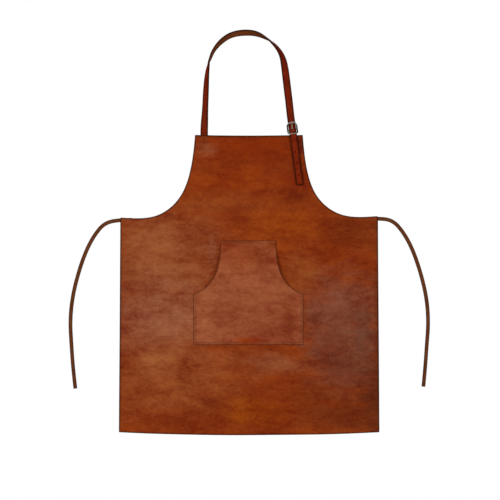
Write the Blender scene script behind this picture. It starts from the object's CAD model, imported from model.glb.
# %% [markdown]
# # A leather butcher apron
# The apron is cut from thick tanned hide. It hangs from a neck strap with a small buckle, it has one
# pocket shaped like the apron itself, and two laces tie it at the back. The metal parts come from CAD and
# keep their shapes. The leather and the thread are remade here, because leather bends, rounds at its edges
# and takes dye unevenly, which plain solids don't show.

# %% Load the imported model
import math
import bpy
import numpy as np
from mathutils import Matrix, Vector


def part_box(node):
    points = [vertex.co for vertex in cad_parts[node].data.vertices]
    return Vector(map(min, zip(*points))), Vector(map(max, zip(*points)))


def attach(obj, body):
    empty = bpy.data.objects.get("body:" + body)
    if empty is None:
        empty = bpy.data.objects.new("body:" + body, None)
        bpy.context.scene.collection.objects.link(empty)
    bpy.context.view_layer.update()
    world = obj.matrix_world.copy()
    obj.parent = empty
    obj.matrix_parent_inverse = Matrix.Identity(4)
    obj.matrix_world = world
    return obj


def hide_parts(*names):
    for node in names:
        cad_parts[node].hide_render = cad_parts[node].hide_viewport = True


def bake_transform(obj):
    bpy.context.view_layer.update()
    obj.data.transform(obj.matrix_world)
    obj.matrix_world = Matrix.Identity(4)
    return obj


MM = 0.001
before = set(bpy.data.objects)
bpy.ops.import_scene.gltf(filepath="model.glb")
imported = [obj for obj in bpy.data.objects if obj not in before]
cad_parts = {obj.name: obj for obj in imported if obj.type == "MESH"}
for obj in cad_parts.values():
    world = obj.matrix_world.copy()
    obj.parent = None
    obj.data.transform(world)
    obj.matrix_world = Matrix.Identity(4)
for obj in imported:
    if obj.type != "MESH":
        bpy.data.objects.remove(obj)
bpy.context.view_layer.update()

# %% [markdown]
# ## Camera, light and floor
# The camera stands level with the middle of the apron and looks straight at it through a long lens, so
# that the sides stay parallel. The background is white for the camera only: the world that lights the
# leather is much dimmer, so that reflections don't wash out its colour. Large area lights give soft
# shading, and one near the camera lays a faint sheen over the lower left of the hide.

# %% Camera
camera = bpy.data.objects.new("camera", bpy.data.cameras.new("camera"))
camera.data.lens = 100
camera.data.sensor_width = 36
camera.data.clip_end = 30
camera.location = (2.27 * MM, -3704 * MM, -579.9 * MM)
camera.rotation_euler = (math.radians(90), 0, 0)
bpy.context.scene.collection.objects.link(camera)
bpy.context.scene.camera = camera
bpy.context.scene.view_settings.view_transform = "Standard"
print("camera", camera.data.lens, "mm lens at", [round(value, 3) for value in camera.location])


# %% Lights
def soft_light(name, place, target, size, power):
    """A white square area light of that side in metres, at place and turned towards target."""
    lamp = bpy.data.lights.new(name, "AREA")
    lamp.size = size
    lamp.energy = power
    light = bpy.data.objects.new(name, lamp)
    light.location = place
    aim = np.array(target, float) - np.array(place, float)
    light.rotation_euler = (
        math.atan2(math.hypot(aim[0], aim[1]), -aim[2]), 0, math.atan2(-aim[0], aim[1]))
    light.visible_camera = False
    bpy.context.scene.collection.objects.link(light)
    return light


middle = (0, 0, -0.6)
soft_light("key_light", (-2.0, -2.5, 0.6), middle, 1.7, 68)
soft_light("fill_light", (2.3, -2.3, -0.2), middle, 1.8, 44)
soft_light("sheen_light", (-0.62, -4.3, -0.95), (-0.15, 0, -0.7), 0.75, 9)
soft_light("back_light", (0.8, 3.0, 0.2), middle, 2.0, 26)

# %% Node helpers
def node(tree, kind, inputs=None, **settings):
    """Adds a node, sets its options, and fills inputs by name or number with values or other outputs."""
    made = tree.nodes.new("ShaderNode" + kind)
    for key, value in settings.items():
        setattr(made, key, value)
    for key, value in (inputs or {}).items():
        if isinstance(value, bpy.types.NodeSocket):
            tree.links.new(value, made.inputs[key])
        else:
            made.inputs[key].default_value = value
    return made


def empty_tree(owner):
    """The node tree of a material or world, with nothing in it."""
    owner.use_nodes = True
    owner.node_tree.nodes.clear()
    return owner.node_tree


# %% World
world = bpy.data.worlds.new("studio")
bpy.context.scene.world = world
sky = empty_tree(world)
ray = node(sky, "LightPath")
shares = {"seen": 1.0, "felt": 0.32, "mirrored": 0.05}
backdrops = {name: node(sky, "Background", {"Color": (1, 1, 1, 1), "Strength": strength}).outputs[0]
             for name, strength in shares.items()}
lighting = node(sky, "MixShader", {0: ray.outputs["Is Glossy Ray"], 1: backdrops["felt"],
                                   2: backdrops["mirrored"]})
either = node(sky, "MixShader", {0: ray.outputs["Is Camera Ray"], 1: lighting.outputs[0],
                                 2: backdrops["seen"]})
node(sky, "OutputWorld", {"Surface": either.outputs[0]})
print("world strengths:", shares)

# %% [markdown]
# ## Helpers for shapes
# Every leather piece is a sheet or a band worked out as arrays of points. A band is an outline carried
# along a path. The helper below turns the points into a mesh, gives it a flat map of the hide in metres,
# and two facts for each point: how far it is from the cut edge, and whether it lies on the fuzzy side.

# %% Points to mesh
def store(mesh, label, values):
    """Gives every point of the mesh a number that materials can read by its label."""
    mesh.attributes.new(label, "FLOAT", "POINT").data.foreach_set("value", values.astype(np.float32))


def points_of(mesh):
    """The mesh's points as an array (n, 3), in metres."""
    points = np.zeros(len(mesh.vertices) * 3)
    mesh.vertices.foreach_get("co", points)
    return points.reshape(-1, 3)


def build(name, points, faces, flat, edge, flesh, sharp=40):
    """A mesh object at the origin from points (n, 3) in metres and lists of faces. flat is each point's
    place on the unrolled hide, edge its distance from the cut, and flesh is 1 on the fuzzy side."""
    mesh = bpy.data.meshes.new(name)
    mesh.from_pydata(points.tolist(), [], faces)
    corners = np.zeros(len(mesh.loops), np.int32)
    mesh.loops.foreach_get("vertex_index", corners)
    mesh.uv_layers.new(name="flat").data.foreach_set("uv", flat[corners].astype(np.float32).ravel())
    store(mesh, "edge", edge)
    store(mesh, "flesh", flesh)
    mesh.shade_smooth()
    mesh.set_sharp_from_angle(angle=math.radians(sharp))
    piece = bpy.data.objects.new(name, mesh)
    bpy.context.scene.collection.objects.link(piece)
    return piece


def outward(points, faces):
    """The same quads, turned over if they face inwards. A closed shell's volume is a sixth of the sum of
    a . (b x c) over its triangles, and is positive when the faces point out."""
    a, b, c, d = (points[faces[:, k]] for k in range(4))
    volume = (np.einsum("ij,ij->i", a, np.cross(b, c)) + np.einsum("ij,ij->i", a, np.cross(c, d))).sum() / 6
    return faces if volume > 0 else faces[:, ::-1]


def grid_quads(rows, columns):
    """Quads of a grid whose point (i, j) has number i * columns + j."""
    number = np.arange(rows * columns).reshape(rows, columns)
    return np.stack([number[:-1, :-1], number[1:, :-1], number[1:, 1:], number[:-1, 1:]], -1).reshape(-1, 4)


def ring_quads(rings):
    """Quads between neighbouring closed rings, from an array with one ring's point numbers in each row."""
    following = np.roll(rings, -1, axis=1)
    return np.stack([rings[:-1], following[:-1], following[1:], rings[1:]], -1).reshape(-1, 4)


def smoothstep(value, low, high):
    """3t^2 - 2t^3 with t the value's share of the way from low to high: 0 before low and 1 after high."""
    share = np.clip((value - low) / (high - low), 0, 1)
    return share * share * (3 - 2 * share)


# %% A smooth curve through points
def cubic_through(points, first, last, places):
    """The smooth cubic through points, whose knots are the chord lengths added up. The slopes m solve
    g1*m0 + 2*(g0 + g1)*m1 + g0*m2 = 3*(g1*rise0 + g0*rise1), so that each bend carries on across a knot.
    first and last are the end slopes. places are distances along the chords."""
    points = np.array(points, float)
    gaps = np.linalg.norm(np.diff(points[:, :3], axis=0), axis=1)
    knots = np.concatenate([[0], np.cumsum(gaps)])
    count = len(points)
    matrix = np.eye(count)
    inner = np.arange(1, count - 1)
    matrix[inner, inner - 1] = gaps[1:]
    matrix[inner, inner] = 2 * (gaps[1:] + gaps[:-1])
    matrix[inner, inner + 1] = gaps[:-1]
    rise = np.diff(points, axis=0) / gaps[:, None]
    right = np.array(points)
    right[0], right[-1] = first, last
    right[1:-1] = 3 * (gaps[1:, None] * rise[:-1] + gaps[:-1, None] * rise[1:])
    slope = np.linalg.solve(matrix, right)
    places = np.asarray(places) * knots[-1]
    span = np.clip(np.searchsorted(knots, places, side="right") - 1, 0, count - 2)
    gap = gaps[span][:, None]
    t = (places[:, None] - knots[span][:, None]) / gap
    return ((1 + 2 * t) * (1 - t) ** 2 * points[span] + t * (1 - t) ** 2 * gap * slope[span]
            + t * t * (3 - 2 * t) * points[span + 1] + t * t * (t - 1) * gap * slope[span + 1])


def along(points):
    """Distance travelled at each point of a line of points."""
    return np.concatenate([[0], np.cumsum(np.linalg.norm(np.diff(points, axis=0), axis=1))])


# %% [markdown]
# ## The laces
# The two laces are flat strips of the same hide, 10 mm wide and sewn behind the corners of the waist. They
# stand out stiffly for a moment, then fall in one long curve. Each follows a NURBS curve through a few
# control points, and a rounded strip is carried along the points that Blender reads from that curve.

# %% Routes of the laces
LACE_WIDTH = 10.4 * MM
LACE_THICK = 2.5 * MM
LACE_Y = 2.45
LACE_LEFT = [
    (-312, -499.5), (-346, -499.3), (-385.5, -507.5), (-412, -538.5), (-435, -581), (-455.8, -640.6),
    (-471.6, -705), (-478, -770), (-473.9, -838), (-470, -895), (-463.8, -949.7)]
LACE_RIGHT = [
    (308, -497.5), (344, -495.2), (383.5, -500.5), (412, -533), (437, -579.5), (459, -644.6),
    (474.5, -712), (478.5, -776), (473.6, -838), (470, -893), (465, -944.6)]


def nurbs_line(name, route):
    """Points in metres along the smooth NURBS curve whose control points are the route's (X, Z) points in
    mm, all at the depth of the laces."""
    curve = bpy.data.curves.new(name, "CURVE")
    curve.dimensions = "3D"
    spline = curve.splines.new("NURBS")
    spline.points.add(len(route) - 1)
    flat_route = np.array(route)
    deep = np.full(len(route), LACE_Y)
    weighted = np.column_stack([np.stack([flat_route[:, 0], deep, flat_route[:, 1]], 1) * MM,
                                np.ones(len(route))])
    spline.points.foreach_set("co", weighted.ravel())
    spline.order_u = 3
    spline.use_endpoint_u = True
    spline.resolution_u = 16
    holder = bpy.data.objects.new(name, curve)
    mesh = bpy.data.meshes.new_from_object(holder)
    line = points_of(mesh)
    bpy.data.meshes.remove(mesh)
    bpy.data.objects.remove(holder)
    return line


# %% A band along a path
def band_outline(width, thick, rounding, lines):
    """A flat band's cross-section as (across, up) pairs, anticlockwise from its right side. Each corner is
    a quarter circle, and lines are distances from the edge that get a row of points on both faces."""
    turn = np.radians(np.linspace(0, 90, 4))
    corner = np.column_stack([width / 2 - rounding + rounding * np.cos(turn),
                              thick / 2 - rounding + rounding * np.sin(turn)])
    face = np.array([[width / 2 - inset, thick / 2] for inset in lines] + [[0, thick / 2]])
    right = np.concatenate([corner, face])
    top = np.concatenate([right, right[-2::-1] * (-1, 1)])
    return np.concatenate([top, top[::-1] * (1, -1)])


END_BEVEL = 0.5 * MM


def sweep(name, centres, grain, outline, narrow=None, bevel=END_BEVEL, cupped=None):
    """Carries the outline along centres: point = centre + across * a + grain * b, where grain is the
    leather's smooth side squared up to the path, and across = path direction x grain. narrow is the
    share of the width left at each ring. cupped is how far the middle of the band bows out at each ring,
    as a parabola across it. The first and last rings are drawn in to round the ends."""
    direction = np.gradient(centres, axis=0)
    direction /= np.linalg.norm(direction, axis=1)[:, None]
    grain = grain - np.einsum("ij,ij->i", grain, direction)[:, None] * direction
    grain /= np.linalg.norm(grain, axis=1)[:, None]
    across = np.cross(direction, grain)
    rings, corners = len(centres), len(outline)
    narrow = np.ones(rings) if narrow is None else narrow
    distance = along(centres)
    half_wide, half_thick = np.abs(outline).max(axis=0)
    drawn = bevel * (1 - np.sqrt(1 - (1 - np.minimum(np.minimum(distance, distance[-1] - distance), bevel)
                                      / bevel) ** 2))
    a = outline[None, :, 0] * (narrow * (1 - drawn / half_wide))[:, None]
    b = outline[None, :, 1] * (1 - drawn / half_thick)[:, None]
    if cupped is not None:
        b = b + cupped[:, None] * (2 / 3 - (outline[None, :, 0] / half_wide) ** 2)
    points = centres[:, None] + across[:, None] * a[..., None] + grain[:, None] * b[..., None]
    number = np.arange(rings * corners).reshape(rings, corners)
    faces = ring_quads(number)[:, [0, 3, 2, 1]]
    points = points.reshape(-1, 3)
    turned = outward(points, faces)
    ends = [number[0].tolist(), number[-1, ::-1].tolist()]
    if turned is not faces:
        ends = [end[::-1] for end in ends]
    flat = np.stack([a.ravel(), np.repeat(distance, corners)], 1)
    edge = (half_wide * narrow)[:, None] - np.abs(a)
    edge = np.minimum(edge, np.minimum(distance, distance[-1] - distance)[:, None])
    flesh = np.broadcast_to(outline[:, 1] < -0.6 * half_thick, (rings, corners))
    return build(name, points, turned.tolist() + ends, flat, edge.ravel(), flesh.ravel())


def with_end_rings(places):
    """The same distances along a path, with extra rings near both ends for the rounding."""
    extra = END_BEVEL * np.array([0.15, 0.5, 1])
    return np.unique(np.concatenate([places, places[0] + extra, places[-1] - extra]))


def resample(line, places):
    """Points at given distances along a line of points, each coordinate read off by straight lines."""
    distance = along(line)
    return np.stack([np.interp(places, distance, line[:, k]) for k in range(3)], 1)


# %% Both laces
laces = {}
lace_outline = band_outline(LACE_WIDTH, LACE_THICK, 0.7 * MM, [1.2 * MM, 2 * MM, 3.2 * MM])
for name, route, curl in (("tie_left", LACE_LEFT, 1), ("tie_right", LACE_RIGHT, -1)):
    line = nurbs_line(name, route)
    length = along(line)[-1]
    places = with_end_rings(np.linspace(0, length, 150))
    centres = resample(line, places)
    twist = np.radians(curl * 16) * smoothstep(places / length, 0.25, 0.6) * np.sin(places / length * 5.2)
    outward_side = np.stack([np.sin(twist), -np.cos(twist), np.zeros(len(places))], 1)
    lace = sweep(name + "_lace", centres, outward_side, lace_outline)
    laces[name] = lace
    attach(lace, "apron")
    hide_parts(name)
    print(name, "length in mm:", round(length / MM, 1), "faces:", len(lace.data.polygons))

# %% [markdown]
# ## The panel
# The apron itself is one flat piece of hide, 2.4 mm thick. Its outline is a bib with two scooped armholes,
# straight sides and a gently rounded hem. The grid's rows run from the centre line out to the edge and
# bend up towards it, so that no row folds where the armhole turns level at the waist. The edge of thick
# leather is rubbed round, so the front and back grids are joined by half circles.

# %% Outline of the panel
BIB_LEFT, BIB_RIGHT, BIB_TOP, BIB_SAG = -144.3, 143, -273, 1.7
WAIST_HALF, WAIST_LEFT, WAIST_RIGHT = 343.5, -493.4, -489.5
HEM_HALF, HEM, HEM_DROP = 347.4, -1066, 8
ARMHOLE_LENGTH, SIDE_LENGTH = 350, 574
PANEL_TURN = -560    # on the centre line, where the armholes' rows end and the sides' rows begin
PANEL_THICK = 2.4 * MM
FINE = np.array([0, 0.8, 2, 3.5, 5.5, 8, 12])
RIM_TURNS = 5


def spaced(length, step, fine_start=False, fine_end=False):
    """Distances from 0 to length about a step apart, closer together at the ends that are named."""
    places = np.linspace(0, length, max(2, round(length / step)))
    if fine_start:
        places = np.concatenate([FINE, places[places > FINE[-1] + step / 2]])
    if fine_end:
        places = np.concatenate([places[places < length - FINE[-1] - step / 2], length - FINE[::-1]])
    return places


def spread_along(line, shares):
    """Points of a flat line at given shares of its length."""
    distance = along(line)
    return np.stack([np.interp(shares * distance[-1], distance, line[:, k]) for k in range(2)], 1)


def curve_2d(points, first, last):
    """A smooth curve through flat points, as 2000 close points."""
    return cubic_through(points, first, last, np.linspace(0, 1, 2000))


def halves(rows_down_curve, rows_down_side, curves, sides):
    """The right and left edges of a sheet, each a scooped curve and then a straight side, with their rows
    at the same shares of their lengths."""
    edges = []
    for curve, side in zip(curves, sides):
        edges.append(np.concatenate([spread_along(curve, rows_down_curve),
                                     spread_along(np.array(side, float), rows_down_side)[1:]]))
    return edges


def middle_rows(top, turn, bottom, rows_down_curve, rows_down_side):
    """The same rows' heights on the centre line: from top to turn beside the curve, and on to bottom."""
    return np.concatenate([top + (turn - top) * rows_down_curve, turn + (bottom - turn) * rows_down_side[1:]])


right_armhole = curve_2d(
    [(BIB_RIGHT, BIB_TOP), (154.8, BIB_TOP - 94), (185.5, BIB_TOP - 169), (244, BIB_TOP - 211.5),
     (WAIST_HALF, WAIST_RIGHT)], (0.08, -1), (1, 0.06))
left_armhole = curve_2d(
    [(BIB_LEFT, BIB_TOP), (-156.9, BIB_TOP - 94), (-187.3, BIB_TOP - 169), (-245, BIB_TOP - 214.2),
     (-WAIST_HALF, WAIST_LEFT)], (-0.08, -1), (-1, 0.05))
down_armhole = spaced(ARMHOLE_LENGTH, 4, fine_start=True) / ARMHOLE_LENGTH
down_side = spaced(SIDE_LENGTH, 4.3, fine_end=True) / SIDE_LENGTH
panel_right, panel_left = halves(
    down_armhole, down_side, (right_armhole, left_armhole),
    ([(WAIST_HALF, WAIST_RIGHT), (HEM_HALF, HEM)], [(-WAIST_HALF, WAIST_LEFT), (-HEM_HALF, HEM)]))
panel_middle = middle_rows(BIB_TOP - BIB_SAG, PANEL_TURN, HEM - HEM_DROP, down_armhole, down_side)
print("panel rows:", len(panel_right))


# %% A sheet of hide with rounded edges
def inset_rows(edge, middle, amount):
    """Draws the right-hand edge and the centre line in by amount. An edge point moves along the sum of its
    two neighbours' inward normals over one plus their product, which keeps corners sharp."""
    path = np.concatenate([[[0, middle[0]]], edge, [[0, middle[-1]]]])
    step = np.diff(path, axis=0)
    normal = np.stack([step[:, 1], -step[:, 0]], 1) / np.linalg.norm(step, axis=1)[:, None]
    before, after = normal[:-1], normal[1:]
    shift = (before + after) / (1 + (before * after).sum(1))[:, None] * amount
    share = (middle - middle[0]) / (middle[-1] - middle[0])
    top, bottom = middle[0] - amount, middle[-1] + amount
    return edge + shift, top + share * (bottom - top)


def distance_to_line(points, line):
    """Each point's distance to the nearest of the line's straight pieces, taken one piece at a time."""
    nearest = np.full(len(points), np.inf)
    for start, end in zip(line, np.roll(line, -1, axis=0)):
        run = end - start
        share = np.clip((points - start) @ run / (run @ run), 0, 1)
        nearest = np.minimum(nearest, np.linalg.norm(points - start - share[:, None] * run, axis=1))
    return nearest


def hide_sheet(name, right, left, middle, centre_x, step, thick, depth):
    """A closed sheet. Row i runs from the centre line's middle[i] out to both edges:
    x = centre + |u| * edge_x and z = middle + u^2 * (edge_z - middle), with u from -1 to 1.
    depth(x, z) is the back face's y, in metres. The rim is a half circle as thick as the sheet. The area
    is half of the sum of |diagonal x diagonal| over the front's quads."""
    radius = thick / 2
    right, drawn_middle = inset_rows(right * MM, middle * MM, radius)
    left = inset_rows(left * (-MM, MM), middle * MM, radius)[0] * (-1, 1)
    widest = right[:, 0].max() / MM
    out = 1 - spaced(widest, step, fine_start=True)[::-1] / widest
    u = np.concatenate([-out[:0:-1], out])
    edge = np.where((u < 0)[None, :, None], left[:, None], right[:, None])
    middle = drawn_middle[:, None]
    x = np.abs(u)[None] * edge[..., 0]
    z = middle + u[None] ** 2 * (edge[..., 1] - middle)
    rows, columns = x.shape
    x = x + centre_x * MM
    number = np.arange(rows * columns).reshape(rows, columns)
    loop = np.concatenate([number[0, :-1], number[:-1, -1], number[-1, :0:-1], number[:0:-1, 0]])
    flat = np.stack([x.ravel(), z.ravel()], 1)
    rim_line = flat[loop]
    tangent = np.roll(rim_line, -1, axis=0) - np.roll(rim_line, 1, axis=0)
    tangent /= np.linalg.norm(tangent, axis=1)[:, None]
    away = np.stack([-tangent[:, 1], tangent[:, 0]], 1)
    back = depth(x.ravel(), z.ravel())
    count = rows * columns
    turn = np.radians(np.linspace(-90, 90, RIM_TURNS + 2))[1:-1]
    rim_flat = (rim_line[None] + away[None] * radius * np.cos(turn)[:, None, None]).reshape(-1, 2)
    rim_y = (back[loop][None] - radius + radius * np.sin(turn)[:, None]).ravel()
    every_flat = np.concatenate([flat, flat, rim_flat])
    y = np.concatenate([back - thick, back, rim_y])
    points = np.column_stack([every_flat[:, 0], y, every_flat[:, 1]])
    rings = np.concatenate([[loop], 2 * count + np.arange(RIM_TURNS * len(loop)).reshape(RIM_TURNS, -1),
                            [loop + count]])
    front = grid_quads(rows, columns)
    faces = outward(points, np.concatenate([front[:, ::-1], front + count, ring_quads(rings)[:, ::-1]]))
    inside = distance_to_line(flat, rim_line) + radius
    away_from_cut = np.concatenate([inside, inside, np.repeat(0.25 * radius, rim_flat.shape[0])])
    fuzzy = np.concatenate([np.zeros(count), np.ones(count), np.repeat(turn > 0.9, len(loop)) * 0.6])
    piece = build(name, points, faces.tolist(), every_flat, away_from_cut, fuzzy, sharp=75)
    corner = points[front]
    crossed = np.cross(corner[:, 2] - corner[:, 0], corner[:, 3] - corner[:, 1])
    return piece, np.linalg.norm(crossed, axis=1).sum() / 2


# %% Panel
def hang(x, z):
    """How far the hanging panel's middle stands in front of or behind a plane, in metres: two soft folds
    that start below the waist and open towards the hem."""
    fall = smoothstep(-z, 0.53, 1.07)
    return fall * (2.6 * MM * np.cos((x - 0.04) / 0.074) + 1.4 * MM * np.sin((x + 0.5 * z) / 0.041))


panel, panel_area = hide_sheet("apron_hide", panel_right, panel_left, panel_middle, 0, 4.3, PANEL_THICK,
                               lambda x, z: hang(x, z) + PANEL_THICK / 2)
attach(panel, "apron")
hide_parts("apron_panel")
print("panel area in m2:", round(panel_area, 4), "faces:", len(panel.data.polygons))

# %% [markdown]
# ## The pocket
# The pocket repeats the apron's own outline, small. It is sewn along its top, its lower sides and its
# bottom, and open along the two scooped mouths. Hands have pushed it out a little, so it stands away from
# the panel inside the seams and lies flat under them.

# %% Pocket
POCKET_X, POCKET_TOP, POCKET_BOTTOM = -2.2, -555, -832.5
POCKET_HALF, POCKET_TOP_HALF, POCKET_MOUTH = 146, 73.3, -697
MOUTH_LENGTH, SEWN_LENGTH, POCKET_TURN = 173, 135.5, -740
POCKET_THICK = 1.8 * MM
POCKET_ROOM = 7 * MM
POCKET_SEAM = 10
SEAM_INSET = 5.5

mouth = curve_2d(
    [(POCKET_TOP_HALF, POCKET_TOP), (76, POCKET_TOP - 42), (88, POCKET_TOP - 91), (111, POCKET_TOP - 122),
     (POCKET_HALF, POCKET_MOUTH)], (0.02, -1), (1, -0.2))
down_mouth = spaced(MOUTH_LENGTH, 3, fine_start=True) / MOUTH_LENGTH
down_seam = spaced(SEWN_LENGTH, 3, fine_end=True) / SEWN_LENGTH
pocket_right, pocket_left = halves(
    down_mouth, down_seam, (mouth, mouth * (-1, 1)),
    ([(POCKET_HALF, POCKET_MOUTH), (POCKET_HALF, POCKET_BOTTOM)],
     [(-POCKET_HALF, POCKET_MOUTH), (-POCKET_HALF, POCKET_BOTTOM)]))
pocket_middle = middle_rows(POCKET_TOP, POCKET_TURN, POCKET_BOTTOM, down_mouth, down_seam)


def pocket_back(x, z):
    """The pocket's back face: on the panel under the seams, and raised between them. The rise is the room
    times a smoothstep of the distance from each seam."""
    inward = (POCKET_HALF - POCKET_SEAM) * MM - np.abs(x - POCKET_X * MM)
    down = (POCKET_TOP - POCKET_SEAM) * MM - z
    up = z - (POCKET_BOTTOM + POCKET_SEAM) * MM
    rise = smoothstep(inward, 0, 0.05) * smoothstep(down, 0, 0.06) * smoothstep(up, 0, 0.06)
    return hang(x, z) - PANEL_THICK / 2 - 0.03 * MM - POCKET_ROOM * rise


pocket, pocket_area = hide_sheet("pocket_hide", pocket_right, pocket_left, pocket_middle, POCKET_X, 3,
                                 POCKET_THICK, pocket_back)
seam_x, seam_top = POCKET_HALF - SEAM_INSET, POCKET_TOP_HALF - SEAM_INSET
seam_low, seam_high, seam_start = POCKET_BOTTOM + SEAM_INSET, POCKET_TOP - SEAM_INSET, POCKET_MOUTH - 4
place = points_of(pocket.data)[:, [0, 2]] / MM - (POCKET_X, 0)
seam_lines = np.array([[(-seam_top, seam_high), (seam_top, seam_high)],
                       [(-seam_x, seam_start), (-seam_x, seam_low)],
                       [(seam_x, seam_start), (seam_x, seam_low)],
                       [(-seam_x, seam_low), (seam_x, seam_low)]])
to_seam = np.min([distance_to_line(place, line) for line in seam_lines], axis=0) * MM
store(pocket.data, "seam", to_seam)
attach(pocket, "apron")
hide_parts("pocket")
print("pocket area in m2:", round(pocket_area, 4), "faces:", len(pocket.data.polygons))

# %% [markdown]
# ## The neck strap
# One strap, about 20 mm wide, is sewn behind the left corner of the bib. It twists as it goes over the
# neck, where it cups a little, and comes down through the buckle: behind the arch, over the centre bar and
# behind the lower bar. Its free end hangs on in front of the bib. It is a single band here, and it bends
# just below the buckle when the free end is lifted.

# %% Path of the strap
STRAP_WIDTH = 20.1 * MM
STRAP_THICK = 2.4 * MM
BAR_AT = np.array([115.4, 0, -258.7])
TILT = math.radians(7.8)
STRAP_UP = np.array([-math.sin(TILT), 0, math.cos(TILT)])
STRAP_ACROSS = np.array([math.cos(TILT), 0, math.sin(TILT)])
OVER_BAR_Y, BEHIND_ARCH_Y = -4.1, -1.0
SEWN_X, SEWN_Y, SEWN_TOP, SEWN_END = -120, 2.4, -270, -303
LOOP_ROUTE = [
    (-120, 2.4, -270, 0), (-118.5, 4, -225, 27), (-115.4, 6, -155, 42), (-112.5, 7, -110, 57),
    (-108.6, 6, -84, 77), (-104.5, 6, -69, 100), (-97, 5, -51, 108), (-77, 3, -25.8, 120),
    (-50.5, 1, -7.8, 127), (-15, 0, -0.5, 132), (16, 0, -2.5, 124), (42, 1, -13, 101), (54.5, 2, -21.2, 82),
    (62, 2, -27, 69), (77, 3, -43.3, 57), (87.7, 3, -62.5, 43), (95, 3, -93, 20), (101, 2, -140, 2),
    (107, 0, -190, 0)]
LOOP_END, TAIL_END = 26, -150


def on_buckle(height, y):
    """A point beside the centre bar: height runs up along the strap, and y is the depth, in mm."""
    height, y = np.broadcast_arrays(np.asarray(height, float), np.asarray(y, float))
    return BAR_AT + height[..., None] * STRAP_UP + y[..., None] * np.array([0, 1, 0])


def weave_depth(height):
    """The strap's depth near the buckle: it comes forward from behind the arch to cross the centre bar."""
    return OVER_BAR_Y + (BEHIND_ARCH_Y - OVER_BAR_Y) * smoothstep(height, 3.5, 13.5)


loop_points = LOOP_ROUTE + [(*on_buckle(LOOP_END, BEHIND_ARCH_Y), 0)]
loop = cubic_through(loop_points, (0, 0, 1, 0), (*-STRAP_UP, 0), np.linspace(0, 1, 260))
sewn = np.linspace((SEWN_X, SEWN_Y, SEWN_END, 0), (SEWN_X, SEWN_Y, SEWN_TOP, 0), 13)
heights = np.concatenate([np.linspace(LOOP_END, -24, 72), np.linspace(-25, -138, 60),
                          TAIL_END + 12 * (1 - np.sin(np.radians(np.linspace(5, 90, 16))))])
run = np.column_stack([on_buckle(heights, weave_depth(heights)), np.zeros(len(heights))])
strap_path = np.concatenate([sewn[:-1], loop[:-1], run])
print("strap length in mm:", round(along(strap_path[:, :3])[-1], 1))

# %% Strap
centres = strap_path[:, :3] * MM
twist = np.radians(strap_path[:, 3])
direction = np.gradient(centres, axis=0)
level = np.stack([-direction[:, 2], np.zeros(len(centres)), direction[:, 0]], 1)
level /= np.linalg.norm(level, axis=1)[:, None]
grain_side = np.array([0, -1, 0]) * np.cos(twist)[:, None] + level * np.sin(twist)[:, None]
from_tip = along(centres)[-1] - along(centres)
round_tip = 6 * MM
narrow = 1 - (round_tip - np.sqrt(np.maximum(
    0, round_tip ** 2 - np.maximum(0, round_tip - from_tip) ** 2))) / (STRAP_WIDTH / 2)
strap_outline = band_outline(STRAP_WIDTH, STRAP_THICK, 0.8 * MM,
                             [1.3 * MM, 2 * MM, 2.7 * MM, 3.6 * MM, 6 * MM])
cupped = 3.2 * MM * np.exp(-((strap_path[:, 3] - 90) / 24) ** 2)
strap = sweep("neck_strap_hide", centres, grain_side, strap_outline, narrow, cupped=cupped)


# %% Punched holes
def leave_unburnished(mesh, holes):
    """Gives the points on each hole's wall an edge distance of 6 mm, so that only cut sides look rubbed.
    A wall point is half the hole's width, give or take 0.1 mm, from the hole's middle line."""
    place = points_of(mesh) / MM - BAR_AT
    edge = np.zeros(len(mesh.vertices), np.float32)
    mesh.attributes["edge"].data.foreach_get("value", edge)
    for height, length, width in holes:
        past = np.maximum(0, np.abs(place @ STRAP_UP - height) - (length - width) / 2)
        edge[np.hypot(place @ STRAP_ACROSS, past) < width / 2 + 0.1] = 6 * MM
    mesh.attributes["edge"].data.foreach_set("value", edge)


def punch(piece, cutter_name, holes):
    """Cuts holes through a piece, front to back. A hole is (height above the bar, length, width) in mm, and
    its wall is a ring of 32 points: two half circles with straight sides when the hole is long."""
    turn = np.radians(np.arange(32) * 360 / 32 + 5)
    points, faces = [], []
    for number, (height, length, width) in enumerate(holes):
        x = width / 2 * np.cos(turn)
        up = width / 2 * np.sin(turn) + np.sign(np.sin(turn)) * (length - width) / 2
        ring = on_buckle(height + up, 0.0) + x[:, None] * STRAP_ACROSS
        for depth in (-9.5, 9.5):
            points.append(ring + np.array([0, depth, 0]))
        first = np.arange(32) + number * 64
        second = np.roll(first, -1)
        faces += np.stack([second, first, first + 32, second + 32], 1).tolist()
        faces += [first.tolist(), (first + 32)[::-1].tolist()]
    points = np.concatenate(points) * MM
    nothing = np.zeros(len(points))
    cutter = build(cutter_name, points, faces, points[:, [0, 2]], nothing, nothing)
    cut = piece.modifiers.new("holes", "BOOLEAN")
    cut.operation = "DIFFERENCE"
    cut.solver = "EXACT"
    cut.object = cutter
    bpy.context.view_layer.update()
    finished = bpy.data.meshes.new_from_object(piece.evaluated_get(bpy.context.evaluated_depsgraph_get()))
    piece.modifiers.clear()
    piece.data = finished
    leave_unburnished(finished, holes)
    bpy.data.objects.remove(cutter)
    finished.shade_smooth()
    finished.set_sharp_from_angle(angle=math.radians(40))


prong_slot = [(1.8, 9.6, 3.4)]
spare_holes = [(4 - 32 * number, 4, 4) for number in range(1, 5)]
punch(strap, "hole_punch", prong_slot + spare_holes)
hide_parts("neck_strap", "strap_tail")
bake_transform(strap)
print("strap faces:", len(strap.data.polygons))

# %% [markdown]
# ## The buckle's holder
# A short strip of thinner leather is folded over the buckle's centre bar and sewn to both faces of the
# bib. It has a slot where the prong comes through.

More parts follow.
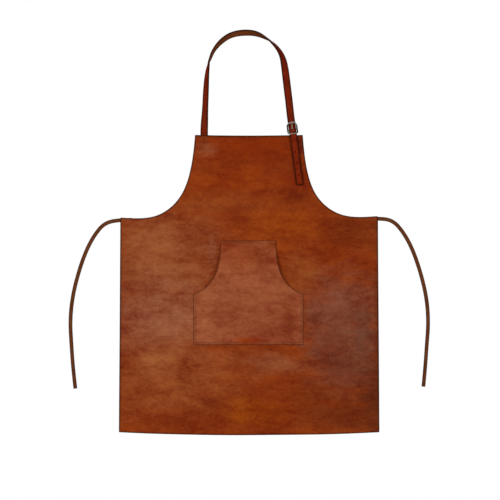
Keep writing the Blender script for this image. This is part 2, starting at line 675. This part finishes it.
# %% Holder
CHAPE_WIDTH, CHAPE_THICK, CHAPE_LEG = 19, 1.2, 43
BAR_R, BAR_ROOM = 1.15, 0.05
fold = BAR_R + BAR_ROOM + CHAPE_THICK / 2
bend = np.radians(np.linspace(0, 180, 19))
leg = np.linspace(-CHAPE_LEG, 0, 30)[:-1]
chape_y = np.concatenate([np.full(29, fold), fold * np.cos(bend), np.full(29, -fold)])
chape_up = np.concatenate([leg, fold * np.sin(bend), leg[::-1]])
chape_path = on_buckle(chape_up, chape_y) * MM
away_from_bar = np.stack([np.zeros(len(chape_y)), chape_y, np.zeros(len(chape_y))], 1)
folded = chape_up > 0
away_from_bar[folded] = on_buckle(chape_up[folded], chape_y[folded]) - BAR_AT
chape_outline = band_outline(CHAPE_WIDTH * MM, CHAPE_THICK * MM, 0.4 * MM,
                             [0.9 * MM, 1.8 * MM, 3 * MM, 6 * MM])
chape = sweep("buckle_chape_hide", chape_path, away_from_bar, chape_outline, bevel=0.35 * MM)
punch(chape, "slot_punch", [(0.9, 7.4, 4.2)])
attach(chape, "apron")
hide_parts("buckle_chape")
print("holder faces:", len(chape.data.polygons))

# %% [markdown]
# ## Stitches
# The thread is waxed and nearly the colour of the leather. Each stitch is one small bead of thread that
# rises out of its hole, lies on the leather and sinks again. One bead's shape is copied to every place
# with arrays, so hundreds of stitches stay light.

# %% Stitch shape
PITCH = 6


def bead():
    """A bead along x that rises along z: radius = width/2 * sqrt(1 - t^6), and height = rise * (1 - t^4)
    less a sink that hides its ends, with t from -1 to 1 along it. It is a little flat."""
    length, width, rise, sink = 4.4, 0.85, 0.42, 0.22
    rings, sides = 7, 6
    t = np.linspace(-1, 1, rings)
    radius = width / 2 * np.sqrt(np.maximum(1 - t ** 6, 0.02))
    lift = rise * (1 - t ** 4) - sink
    turn = np.arange(sides) * 2 * np.pi / sides
    x = np.broadcast_to((t * length / 2)[:, None], (rings, sides))
    y = radius[:, None] * np.cos(turn)
    z = lift[:, None] + 0.62 * radius[:, None] * np.sin(turn)
    number = np.arange(rings * sides).reshape(rings, sides)
    return np.stack([x, y, z], -1).reshape(-1, 3), ring_quads(number), np.stack([number[0, ::-1], number[-1]])


def stitch_row(start, end):
    """Centres and directions of the stitches in a straight row from start to end, (X, Z) in mm."""
    start, end = np.array(start, float), np.array(end, float)
    count = max(1, round(np.linalg.norm(end - start) / PITCH))
    share = (np.arange(count) + 0.5) / count
    direction = (end - start) / np.linalg.norm(end - start)
    return np.column_stack([start + share[:, None] * (end - start), np.tile(direction, (count, 1))])


def stitch_box(width, height):
    """Four rows round a rectangle centred on the origin, with its corners left open."""
    w, h = width / 2, height / 2
    return np.concatenate([stitch_row((-w, h), (w, h)), stitch_row((-w, -h), (w, -h)),
                           stitch_row((-w, h - 1), (-w, 1 - h)), stitch_row((w, h - 1), (w, 1 - h))])


def sew(name, nodes, rows, to_place=None):
    """One mesh of beads. rows is a list of (row, face, side): the row's centres and directions, the depth
    of the leather's face as a function of x and z, and -1 for the front or 1 for the back."""
    shape, quads, caps = bead()
    all_points, all_quads, all_caps = [], [], []
    for row, face, side in rows:
        centre = np.stack([row[:, 0], face(row[:, 0], row[:, 1]), row[:, 1]], 1)
        forward = np.stack([row[:, 2], np.zeros(len(row)), row[:, 3]], 1)
        out = np.array([0, side, 0])
        sideways = np.cross(out, forward)
        points = (centre[:, None] + shape[None, :, :1] * forward[:, None]
                  + shape[None, :, 1:2] * sideways[:, None] + shape[None, :, 2:] * out)
        offset = (sum(len(p) for p in all_points) + np.arange(len(row)) * len(shape))[:, None, None]
        all_points.append(points.reshape(-1, 3))
        all_quads.append((quads[None] + offset).reshape(-1, 4))
        all_caps.append((caps[None] + offset).reshape(-1, caps.shape[1]))
    points = np.concatenate(all_points)
    points = (points if to_place is None else to_place(points)) * MM
    quads, caps = np.concatenate(all_quads), np.concatenate(all_caps)
    turned = outward(points, quads)
    if turned is not quads:
        caps = caps[:, ::-1]
    count = sum(len(row) for row, _, _ in rows)
    unrolled = np.tile(shape[:, :2] * MM, (count, 1))
    nothing = np.zeros(len(points))
    piece = build(name, points, turned.tolist() + caps.tolist(), unrolled, nothing, nothing)
    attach(piece, "apron")
    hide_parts(*nodes)
    print(name, "stitches:", count)
    return piece


# %% Sew everything
def face_at(depth):
    """A leather face at that depth in mm, which follows the hanging panel."""
    return lambda x, z: depth + hang(x * MM, z * MM) / MM


def moved(row, x, z):
    """A row or box of stitches moved to a place."""
    return row + np.array([x, z, 0, 0])


panel_back = PANEL_THICK / 2 / MM
pocket_front = -panel_back - POCKET_THICK / MM
strap_back = panel_back + STRAP_THICK / MM
lace_back = panel_back + LACE_THICK / MM
threads = []
left, right = POCKET_X - seam_x, POCKET_X + seam_x
side_top, side_low = POCKET_MOUTH - 6, seam_low + 4
pocket_rows = [
    stitch_row((POCKET_X - seam_top, seam_high), (POCKET_X + seam_top, seam_high)),
    stitch_row((left, side_top), (left, side_low)),
    stitch_row((right, side_top), (right, side_low)),
    stitch_row((left, seam_low), (right, seam_low))]
threads.append(sew("pocket_stitches",
                   ["pocket_thread_top", "pocket_thread_left", "pocket_thread_right", "pocket_thread_bottom"],
                   [(row, face_at(pocket_front), -1) for row in pocket_rows]
                   + [(row, face_at(panel_back), 1) for row in pocket_rows]))
strap_box = moved(stitch_box(13, 21), SEWN_X, -288)
threads.append(sew("neck_strap_stitches", ["neck_strap_thread"],
                   [(strap_box, face_at(-panel_back), -1), (strap_box, face_at(strap_back), 1)]))
for name, x, z in (("tie_left", -328, -499.4), ("tie_right", 326, -496.3)):
    tie_box = moved(stitch_box(25, 5), x, z)
    threads.append(sew(name + "_stitches", [name + "_thread"],
                       [(tie_box, face_at(-panel_back), -1), (tie_box, face_at(lace_back), 1)]))


def at_buckle(points):
    """Points drawn beside the bar, with x across the strap and z up along it, put in their place."""
    return (BAR_AT + points[:, :1] * STRAP_ACROSS + points[:, 1:2] * np.array([0, 1, 0])
            + points[:, 2:] * STRAP_UP)


def chape_face(side):
    """The holder's outer face on the front, -1, or the back, 1, at one depth all over."""
    return lambda x, z: np.full(len(x), side * (BAR_R + BAR_ROOM + CHAPE_THICK))


chape_rows = [stitch_row((across, -20), (across, -40)) for across in (-7, 7)]
threads.append(sew("chape_stitches", ["chape_thread"],
                   [(row, chape_face(side), side) for side in (-1, 1) for row in chape_rows], at_buckle))

# %% [markdown]
# ## Helpers for materials
# Each finish is a small tree of nodes. Effects that several leathers share, such as dye that took
# unevenly, the pebbled grain and the burnished edge, are node groups with named inputs, built once. A
# group only puts out masks, colours and heights. The shader itself stays in each material.

# %% Arithmetic and groups
def operation(kind):
    """A function that adds one node of arithmetic to a tree and gives its result."""
    return lambda tree, *values: node(tree, "Math", dict(enumerate(values)), operation=kind).outputs[0]


add, minus, times, over = (operation(kind) for kind in ("ADD", "SUBTRACT", "MULTIPLY", "DIVIDE"))
root, size_of, wave, least, most = (
    operation(kind) for kind in ("SQRT", "ABSOLUTE", "SINE", "MINIMUM", "MAXIMUM"))


def short_of_one(tree, mask, share):
    """1 - mask * share."""
    return minus(tree, 1.0, times(tree, mask, share))


def noise(tree, place, scale=1.0, detail=2.0, roughness=0.5, distortion=0.0):
    """Smooth noise from 0 to 1 at a place."""
    return node(tree, "TexNoise", {"Vector": place, "Scale": scale, "Detail": detail, "Roughness": roughness,
                                   "Distortion": distortion}).outputs[0]


def scaled(tree, place, share):
    """A place or colour times one number."""
    return node(tree, "VectorMath", {0: place, "Scale": share}, operation="SCALE").outputs[0]


def stretched(tree, place, shares):
    """A place times three numbers, one for each direction."""
    return node(tree, "VectorMath", {0: place, 1: shares}, operation="MULTIPLY").outputs[0]


def ramp(tree, value, low, high):
    """The value's smoothstep between low and high, as a number from 0 to 1."""
    return node(tree, "MapRange", {"Value": value, "From Min": low, "From Max": high},
                interpolation_type="SMOOTHSTEP").outputs[0]


def blend_colour(tree, share, first, second, how="MIX"):
    """first where share is 0 and second where it is 1."""
    return node(tree, "Mix", {0: share, 6: first, 7: second}, data_type="RGBA", blend_type=how).outputs[2]


def group(name, inputs, outputs):
    """An empty node group, with its inputs' and outputs' sockets."""
    tree = bpy.data.node_groups.new(name, "ShaderNodeTree")
    for label, value in inputs.items():
        kind = "NodeSocketVector" if value is None else (
            "NodeSocketColor" if isinstance(value, tuple) else "NodeSocketFloat")
        socket = tree.interface.new_socket(label, in_out="INPUT", socket_type=kind)
        if value is not None:
            socket.default_value = value
    for label in outputs:
        kind = "NodeSocketColor" if label == "Color" else "NodeSocketFloat"
        tree.interface.new_socket(label, in_out="OUTPUT", socket_type=kind)
    return tree, tree.nodes.new("NodeGroupInput").outputs, tree.nodes.new("NodeGroupOutput").inputs


def use(tree, grouped, inputs):
    """Places a node group in a material, with its own values, and gives its outputs."""
    return node(tree, "Group", inputs, node_tree=grouped).outputs


# %% Uneven dye
dye, given, result = group("Uneven dye", {
    "Vector": None, "Size": 0.03, "Stretch": 4.0, "Shift": 0.0}, ["Mask"])
split = node(dye, "SeparateXYZ", {0: given["Vector"]})
cells = node(dye, "CombineXYZ", {
    0: over(dye, split.outputs[0], times(dye, given["Size"], given["Stretch"])),
    1: over(dye, split.outputs[1], given["Size"]),
    2: given["Shift"]})
cloud = noise(dye, cells.outputs[0], detail=2.5, distortion=0.7)
dye.links.new(ramp(dye, cloud, 0.27, 0.73), result["Mask"])

# %% Soft patch
patch, given, result = group("Soft patch", {
    "Vector": None, "Centre X": 0.0, "Centre Z": 0.0, "Half Width": 0.1, "Half Height": 0.1,
    "Ragged": 0.3}, ["Mask"])
split = node(patch, "SeparateXYZ", {0: given["Vector"]})
far_x = over(patch, minus(patch, split.outputs[0], given["Centre X"]), given["Half Width"])
far_z = over(patch, minus(patch, split.outputs[1], given["Centre Z"]), given["Half Height"])
far = root(patch, add(patch, times(patch, far_x, far_x), times(patch, far_z, far_z)))
torn = noise(patch, stretched(patch, given["Vector"], (14.0, 34.0, 1.0)), detail=4.0, roughness=0.6)
shake = times(patch, minus(patch, torn, 0.5), times(patch, given["Ragged"], 4.0))
patch.links.new(ramp(patch, add(patch, far, shake), 1.25, 0.15), result["Mask"])

# %% Grain of the hide
grain, given, result = group("Hide grain", {"Vector": None, "Pebble": 0.0011, "Fold": 0.012},
                             ["Height", "Pores"])
fine = scaled(grain, given["Vector"], over(grain, 1.0, given["Pebble"]))
warp = node(grain, "TexNoise", {"Vector": fine, "Scale": 0.45, "Detail": 2.0})
bent = node(grain, "VectorMath", {0: fine, 1: warp.outputs["Color"]}, operation="ADD")
pebbles = node(grain, "TexVoronoi", {"Vector": bent.outputs[0], "Scale": 1.0}, feature="DISTANCE_TO_EDGE")
pebble_height = ramp(grain, pebbles.outputs["Distance"], 0.0, 0.32)
fold_space = scaled(grain, given["Vector"], over(grain, 1.0, given["Fold"]))
folds = noise(grain, fold_space, detail=4.0, roughness=0.55, distortion=0.6)
speck = noise(grain, fine, scale=2.3)
total = add(grain, times(grain, pebble_height, 0.55),
            add(grain, times(grain, folds, 1.6), times(grain, speck, 0.25)))
grain.links.new(total, result["Height"])
grain.links.new(ramp(grain, pebbles.outputs["Distance"], 0.16, 0.0), result["Pores"])

# %% Burnished edge and creased line
burnish, given, result = group("Burnished edge", {
    "Distance": 0.01, "Vector": None, "Width": 0.003, "Waver": 0.4}, ["Mask"])
uneven = noise(burnish, given["Vector"], scale=70.0, detail=3.0)
wavering = times(burnish, minus(burnish, uneven, 0.5), times(burnish, given["Waver"], 3.0))
reach = times(burnish, given["Width"], add(burnish, 1.0, wavering))
burnish.links.new(ramp(burnish, given["Distance"], reach, times(burnish, reach, 0.12)), result["Mask"])

crease, given, result = group("Creased line", {"Distance": 0.01, "Inset": 0.004, "Width": 0.0008}, ["Mask"])
off = size_of(crease, minus(crease, given["Distance"], given["Inset"]))
crease.links.new(ramp(crease, off, given["Width"], 0.0), result["Mask"])

# %% Fuzzy flesh side
suede, given, result = group("Flesh side", {"Vector": None, "Tone": (0.3, 0.16, 0.09, 1)},
                             ["Color", "Height"])
fibres = noise(suede, given["Vector"], scale=900.0, detail=3.0, roughness=0.7)
clouds = noise(suede, given["Vector"], scale=14.0, detail=5.0, roughness=0.62, distortion=0.6)
napped = noise(suede, given["Vector"], scale=95.0, detail=3.0, roughness=0.6)
shade = add(suede, add(suede, 0.5, times(suede, fibres, 0.3)),
            add(suede, times(suede, ramp(suede, clouds, 0.3, 0.7), 0.3),
                times(suede, ramp(suede, napped, 0.3, 0.7), 0.26)))
suede.links.new(scaled(suede, given["Tone"], shade), result["Color"])
suede.links.new(add(suede, fibres, clouds), result["Height"])
print("node groups:", [g.name for g in bpy.data.node_groups])

# %% [markdown]
# ## Leather
# The hide is dyed brown over tan, and the dye took in short level streaks, with deeper and paler clouds.
# The cut edges are rubbed dark. Patches of colour are placed by hand where this hide is warmer, paler or
# darker. The back is the fuzzy flesh side. One function builds each leather from the shared groups.

# %% Leather builder
SPECKLE, PEBBLE, BUMP = 0.26, 1.1 * MM, 0.3 * MM
GLOSSY, MATT, FLESH_MATT = 0.33, 0.45, 0.92
DYE_SCALES = [("cloud", 0.075, 1.5, 0.33), ("streak", 0.020, None, 0.26), ("blotch", 0.0085, 1.4, 0.23),
              ("speck", 0.0030, 1.2, 0.18)]    # label, size in metres, stretch, share


def leather(name, base, patches=(), swing=0.84, streak=2.4, inside=(0.165, 0.040, 0.010),
            edge_width=4.6 * MM, edge_dark=0.8, lines=(), shift=0.0):
    """Colour = base, towards each patch's tone by its mask, times an uneven dye that runs from low to high
    and turns it redder where it is deep and more orange where it is thin, then darker at the cut edge and
    in creased lines. The dye is four noises of falling size, and streak is how far one of them is drawn
    out. A line is (attribute, inset, width, darkness, depth). The flesh side takes over where flesh is 1."""
    material = bpy.data.materials.new(name)
    tree = empty_tree(material)
    flat = node(tree, "UVMap", uv_map="flat").outputs[0]
    edge = node(tree, "Attribute", attribute_name="edge").outputs["Fac"]
    flesh = node(tree, "Attribute", attribute_name="flesh").outputs["Fac"]
    colour = (*base, 1)
    for tone, x, z, half_x, half_z, strength, ragged in patches:
        mask = use(tree, patch, {"Vector": flat, "Centre X": x, "Centre Z": z, "Half Width": half_x,
                                 "Half Height": half_z, "Ragged": ragged})["Mask"]
        colour = blend_colour(tree, times(tree, mask, strength), colour, (*tone, 1))
    masks = {}
    thin = 0.0
    for label, size, stretch, share in DYE_SCALES:
        masks[label] = use(tree, dye, {"Vector": flat, "Size": size, "Stretch": stretch or streak,
                                       "Shift": shift + 10 * share})["Mask"]
        thin = add(tree, thin, times(tree, masks[label], share))
    low = [1 - 0.5 * swing, 1 - 1.0 * swing, 1 - 1.1 * swing, 1]
    high = [1 + 0.5 * swing, 1 + 1.0 * swing, 1 + 1.1 * swing, 1]
    colour = blend_colour(tree, 1.0, colour, blend_colour(tree, thin, low, high), "MULTIPLY")
    grained = use(tree, grain, {"Vector": flat, "Pebble": PEBBLE})
    darker = short_of_one(tree, grained["Pores"], SPECKLE)
    rubbed = use(tree, burnish, {"Distance": edge, "Vector": flat, "Width": edge_width})["Mask"]
    darker = times(tree, darker, short_of_one(tree, rubbed, edge_dark))
    height = grained["Height"]
    for source, inset, width, dark, depth in lines:
        distance = node(tree, "Attribute", attribute_name=source).outputs["Fac"]
        groove = use(tree, crease, {"Distance": distance, "Inset": inset, "Width": width})["Mask"]
        darker = times(tree, darker, short_of_one(tree, groove, dark))
        height = minus(tree, height, times(tree, groove, depth))
    fuzzy = use(tree, suede, {"Vector": flat, "Tone": (*inside, 1)})
    colour = scaled(tree, blend_colour(tree, flesh, colour, fuzzy["Color"]), darker)
    height = node(tree, "Mix", {0: flesh, 2: height, 3: fuzzy["Height"]}, data_type="FLOAT").outputs[0]
    matt = add(tree, times(tree, masks["cloud"], 0.5), times(tree, masks["speck"], 0.5))
    gloss = add(tree, GLOSSY, times(tree, matt, MATT - GLOSSY))
    gloss = most(tree, gloss, times(tree, flesh, FLESH_MATT))
    bumps = node(tree, "Bump", {"Height": height, "Strength": 1.0, "Distance": BUMP})
    shader = node(tree, "BsdfPrincipled", {
        "Base Color": colour, "Roughness": gloss, "Normal": bumps.outputs[0], "IOR": 1.45,
        "Specular IOR Level": 0.17, "Specular Tint": (1.0, 0.5, 0.22, 1)})
    node(tree, "OutputMaterial", {"Surface": shader.outputs[0]})
    return material


# %% Leathers of this apron
panel_patches = [
    # tone, centre x, centre z, half width, half height, strength, ragged
    ((0.295, 0.078, 0.026), -0.24, -0.60, 0.20, 0.16, 0.8, 0.35),
    ((0.290, 0.088, 0.042), -0.24, -0.76, 0.18, 0.13, 0.9, 0.35),
    ((0.290, 0.066, 0.017), -0.20, -0.92, 0.24, 0.13, 0.7, 0.35),
    ((0.195, 0.014, 0.000), 0.02, -0.30, 0.22, 0.07, 0.8, 0.3),
    ((0.260, 0.028, 0.001), -0.02, -0.395, 0.20, 0.035, 0.6, 0.5),
    ((0.150, 0.012, 0.001), 0.115, -0.435, 0.05, 0.03, 0.75, 0.5),
    ((0.270, 0.038, 0.002), 0.10, -0.515, 0.11, 0.06, 0.8, 0.45),
    ((0.235, 0.040, 0.006), -0.07, -0.455, 0.13, 0.035, 0.6, 0.5),
    ((0.290, 0.095, 0.050), -0.098, -0.586, 0.018, 0.05, 0.6, 0.25),
    ((0.270, 0.075, 0.030), -0.115, -0.310, 0.035, 0.022, 0.55, 0.5),
    ((0.185, 0.030, 0.004), 0.29, -0.53, 0.10, 0.05, 0.6, 0.4),
    ((0.190, 0.052, 0.028), 0.25, -0.75, 0.15, 0.13, 0.85, 0.4),
    ((0.150, 0.038, 0.020), 0.27, -0.88, 0.14, 0.11, 0.8, 0.4),
    ((0.095, 0.015, 0.004), 0.335, -0.99, 0.055, 0.11, 0.8, 0.5),
    ((0.150, 0.026, 0.006), 0.24, -1.02, 0.14, 0.05, 0.6, 0.4),
    ((0.300, 0.070, 0.014), 0.135, -0.640, 0.055, 0.060, 0.7, 0.35),
    ((0.140, 0.042, 0.024), 0.307, -0.800, 0.035, 0.090, 0.7, 0.35),
    ((0.250, 0.060, 0.022), 0.065, -0.880, 0.110, 0.035, 0.8, 0.4),
    ((0.165, 0.018, 0.002), -0.085, -0.987, 0.040, 0.025, 0.6, 0.4),
    ((0.200, 0.016, 0.001), 0.131, -0.389, 0.050, 0.035, 0.7, 0.4),
    ((0.150, 0.015, 0.002), 0.275, -0.507, 0.080, 0.022, 0.7, 0.3),
    ((0.330, 0.088, 0.026), -0.240, -0.875, 0.070, 0.045, 0.6, 0.4),
    ((0.225, 0.045, 0.012), -0.318, -0.640, 0.022, 0.050, 0.7, 0.4),
    ((0.185, 0.034, 0.006), 0.175, -0.965, 0.090, 0.035, 0.5, 0.4),
    ((0.120, 0.012, 0.002), -0.122, -0.291, 0.015, 0.020, 0.5, 0.3),
    ((0.085, 0.006, 0.003), 0.136, -0.300, 0.012, 0.035, 0.8, 0.2),
    ((0.120, 0.012, 0.001), -0.02, -0.276, 0.20, 0.008, 0.7, 0.2),
    ((0.110, 0.018, 0.004), 0.346, -0.76, 0.014, 0.34, 0.7, 0.3),
    ((0.140, 0.026, 0.006), -0.346, -0.76, 0.010, 0.34, 0.5, 0.3),
    ((0.255, 0.040, 0.001), 0.01, -1.01, 0.10, 0.05, 0.8, 0.5),
]
panel_leather = leather("panel_leather", (0.232, 0.030, 0.003), panel_patches, inside=(0.27, 0.105, 0.042),
                        lines=[("edge", 3.6 * MM, 0.9 * MM, 0.2, 1.2)])
pocket_leather = leather("pocket_leather", (0.290, 0.066, 0.025),
                         [((0.250, 0.042, 0.010), 0.0, -0.59, 0.09, 0.06, 0.8, 0.35),
                          ((0.335, 0.090, 0.035), -0.115, -0.74, 0.035, 0.08, 0.7, 0.3),
                          ((0.200, 0.024, 0.003), 0.062, -0.566, 0.022, 0.018, 0.8, 0.3),
                          ((0.230, 0.028, 0.004), -0.062, -0.566, 0.03, 0.018, 0.6, 0.3),
                          ((0.230, 0.042, 0.013), 0.11, -0.765, 0.03, 0.075, 0.65, 0.35),
                          ((0.300, 0.036, 0.002), -0.008, -0.822, 0.05, 0.012, 0.9, 0.4)],
                         shift=21.0, edge_width=2.6 * MM, edge_dark=0.66,
                         lines=[("seam", 0.0, 2.0 * MM, 0.5, 2.0)])
strap_leather = leather("strap_leather", (0.168, 0.010, 0.001), streak=0.5, edge_width=5.2 * MM,
                        edge_dark=0.86, lines=[("edge", 3.4 * MM, 1.1 * MM, 0.3, 1.6)], shift=40.0)
chape_leather = leather("chape_leather", (0.140, 0.010, 0.001), edge_width=2.4 * MM,
                        lines=[("edge", 2.0 * MM, 0.6 * MM, 0.4, 1.4)], shift=60.0)
lace_leather = leather("lace_leather", (0.120, 0.034, 0.011), streak=0.4, swing=0.6, edge_width=2.6 * MM,
                       edge_dark=0.7, shift=80.0)
for piece, material in ((panel, panel_leather), (pocket, pocket_leather), (strap, strap_leather),
                        (chape, chape_leather), *((lace, lace_leather) for lace in laces.values())):
    piece.data.materials.clear()
    piece.data.materials.append(material)
print("leathers:", [m.name for m in bpy.data.materials if "leather" in m.name])

# %% [markdown]
# ## Thread and metal
# The thread is a twisted cord, so slanting ridges run along each stitch. The buckle is worn nickel plate:
# bright where it rubs, with a warm, duller tarnish between, and fine scratches.

# %% Thread
thread = bpy.data.materials.new("waxed_thread")
tree = empty_tree(thread)
split = node(tree, "SeparateXYZ", {0: node(tree, "UVMap", uv_map="flat").outputs[0]})
slant = add(tree, times(tree, split.outputs[0], 9000.0), times(tree, split.outputs[1], 5200.0))
ply = add(tree, 0.5, times(tree, wave(tree, slant), 0.5))
fray = noise(tree, node(tree, "TexCoord").outputs["Object"], scale=1200.0)
colour = blend_colour(tree, ply, (0.12, 0.028, 0.007, 1), (0.27, 0.08, 0.025, 1))
colour = blend_colour(tree, times(tree, fray, 0.4), colour, (0.30, 0.10, 0.035, 1))
ridges = node(tree, "Bump", {"Height": ply, "Distance": 0.12 * MM})
shader = node(tree, "BsdfPrincipled", {"Base Color": colour, "Roughness": 0.5, "Normal": ridges.outputs[0]})
node(tree, "OutputMaterial", {"Surface": shader.outputs[0]})
for piece in threads:
    piece.data.materials.append(thread)

# %% Worn nickel
wear, given, result = group("Metal wear", {"Vector": None, "Scale": 160.0}, ["Tarnish", "Scratches"])
blot = noise(wear, given["Vector"], scale=given["Scale"], detail=5.0, roughness=0.6)
wear.links.new(ramp(wear, blot, 0.3, 0.8), result["Tarnish"])
lines = noise(wear, stretched(wear, given["Vector"], (3000.0, 3000.0, 420.0)), detail=3.0)
wear.links.new(ramp(wear, lines, 0.45, 0.7), result["Scratches"])


def nickel(name, bright, dull, scale, middle_z, reach):
    """Plated metal: the colour goes from bright to dull with the tarnish, which is also rougher. Tarnish
    gathers within reach of middle_z and is rubbed off further out."""
    material = bpy.data.materials.new(name)
    tree = empty_tree(material)
    place = node(tree, "TexCoord").outputs["Object"]
    worn = use(tree, wear, {"Vector": place, "Scale": scale})
    height = node(tree, "SeparateXYZ", {0: place}).outputs[2]
    away = size_of(tree, minus(tree, height, middle_z))
    sheltered = minus(tree, 1.0, ramp(tree, over(tree, away, reach), 0.7, 1.2))
    tarnish = least(tree, 1.0, add(tree, times(tree, worn["Tarnish"], 0.3), sheltered))
    colour = blend_colour(tree, tarnish, (*bright, 1), (*dull, 1))
    rough = add(tree, 0.2, add(tree, times(tree, worn["Tarnish"], 0.16),
                               times(tree, worn["Scratches"], 0.08)))
    dents = node(tree, "Bump", {"Height": worn["Scratches"], "Distance": 0.02 * MM})
    shader = node(tree, "BsdfPrincipled", {"Base Color": colour, "Roughness": rough, "Metallic": 1.0,
                                           "Normal": dents.outputs[0]})
    node(tree, "OutputMaterial", {"Surface": shader.outputs[0]})
    return material


buckle_low, buckle_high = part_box("buckle_frame")
buckle_middle = (buckle_low[2] + buckle_high[2]) / 2
buckle_reach = (buckle_high[2] - buckle_low[2]) / 2
for part, material in (
        ("buckle_frame", nickel("worn_nickel", (0.92, 0.82, 0.69), (0.018, 0.012, 0.008), 190.0,
                                buckle_middle - 0.1 * buckle_reach, 0.68 * buckle_reach)),
        ("buckle_prong", nickel("prong_nickel", (0.42, 0.34, 0.26), (0.12, 0.09, 0.06), 300.0,
                                buckle_low[2], 0.6 * buckle_reach))):
    for material_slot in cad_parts[part].material_slots:
        material_slot.material = material
print("metal parts:", "buckle_frame, buckle_prong")

# %% Floor
FLOOR_RADIUS, FLOOR_Z, FLOOR_POINTS = 1.15, -1.5, 96
turn = np.linspace(0, 2 * np.pi, FLOOR_POINTS + 1)[:-1]
rim = np.stack([FLOOR_RADIUS * np.cos(turn), FLOOR_RADIUS * np.sin(turn), np.full(FLOOR_POINTS, FLOOR_Z)], 1)
floor_mesh = bpy.data.meshes.new("floor")
floor_mesh.from_pydata(rim.tolist(), [], [list(range(FLOOR_POINTS))])
floor = bpy.data.objects.new("floor", floor_mesh)
bpy.context.scene.collection.objects.link(floor)
pale = bpy.data.materials.new("pale_floor")
pale.use_nodes = True
paint = pale.node_tree.nodes["Principled BSDF"]
paint.inputs["Base Color"].default_value = (0.82, 0.81, 0.79, 1)
paint.inputs["Roughness"].default_value = 0.9
floor_mesh.materials.append(pale)
print("floor radius in m:", FLOOR_RADIUS)
